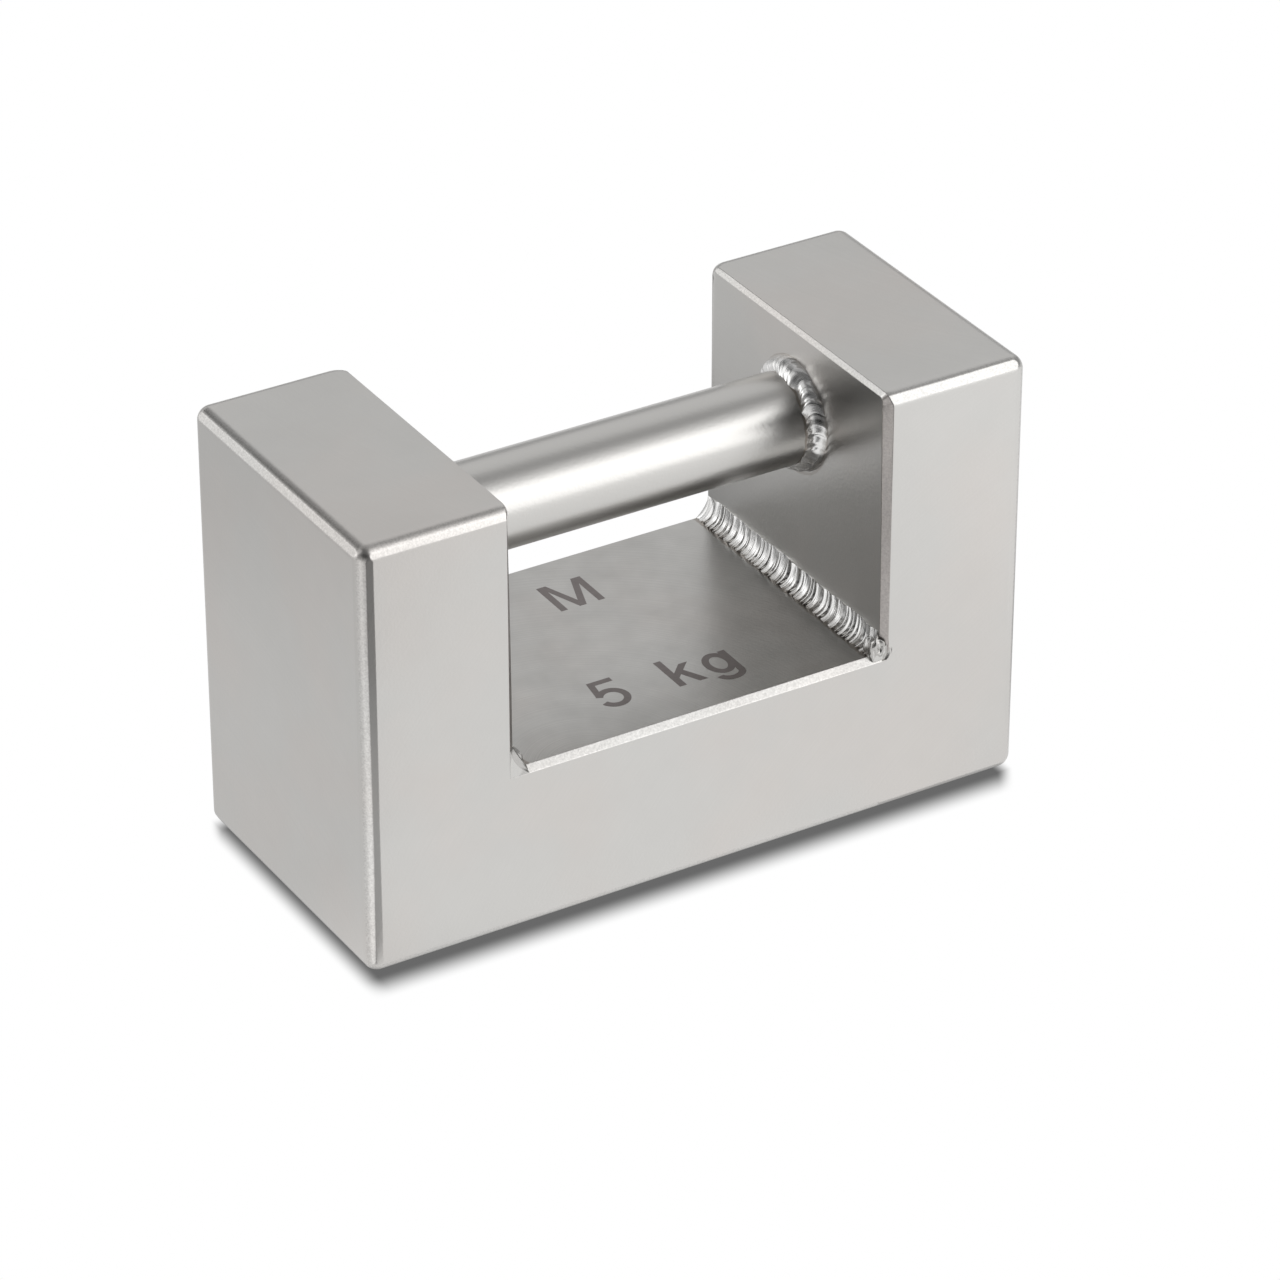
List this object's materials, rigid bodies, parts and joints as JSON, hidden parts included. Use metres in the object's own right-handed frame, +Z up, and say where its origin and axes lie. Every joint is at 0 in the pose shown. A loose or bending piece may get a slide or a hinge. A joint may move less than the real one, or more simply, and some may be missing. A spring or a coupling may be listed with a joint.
{
  "type": "calibration weight",
  "caption": "Rectangular stainless steel block weight of nominal mass 5 kg: upright blocks on either side of a base block, a round handle bar between them, and fillet welds.",
  "frame": {"origin": "on the underside, under the middle of the weight", "axes": "+X along the handle, +Y to the back across the weight, +Z up; the front face is towards -Y"},
  "size_m": [0.148, 0.0668, 0.0938],
  "materials": {
    "block_steel": "fine ground satin stainless steel",
    "handle_steel": "drawn stainless bar, satin",
    "weld_steel": "bright rippled weld metal"
  },
  "bodies": {
    "root": {"left_upright": "block_steel", "right_upright": "block_steel", "base_block": "block_steel", "handle_bar": "handle_steel", "base_weld_left": "weld_steel", "base_weld_right": "weld_steel", "handle_weld_left": "weld_steel", "handle_weld_right": "weld_steel"}
  },
  "joints": []
}
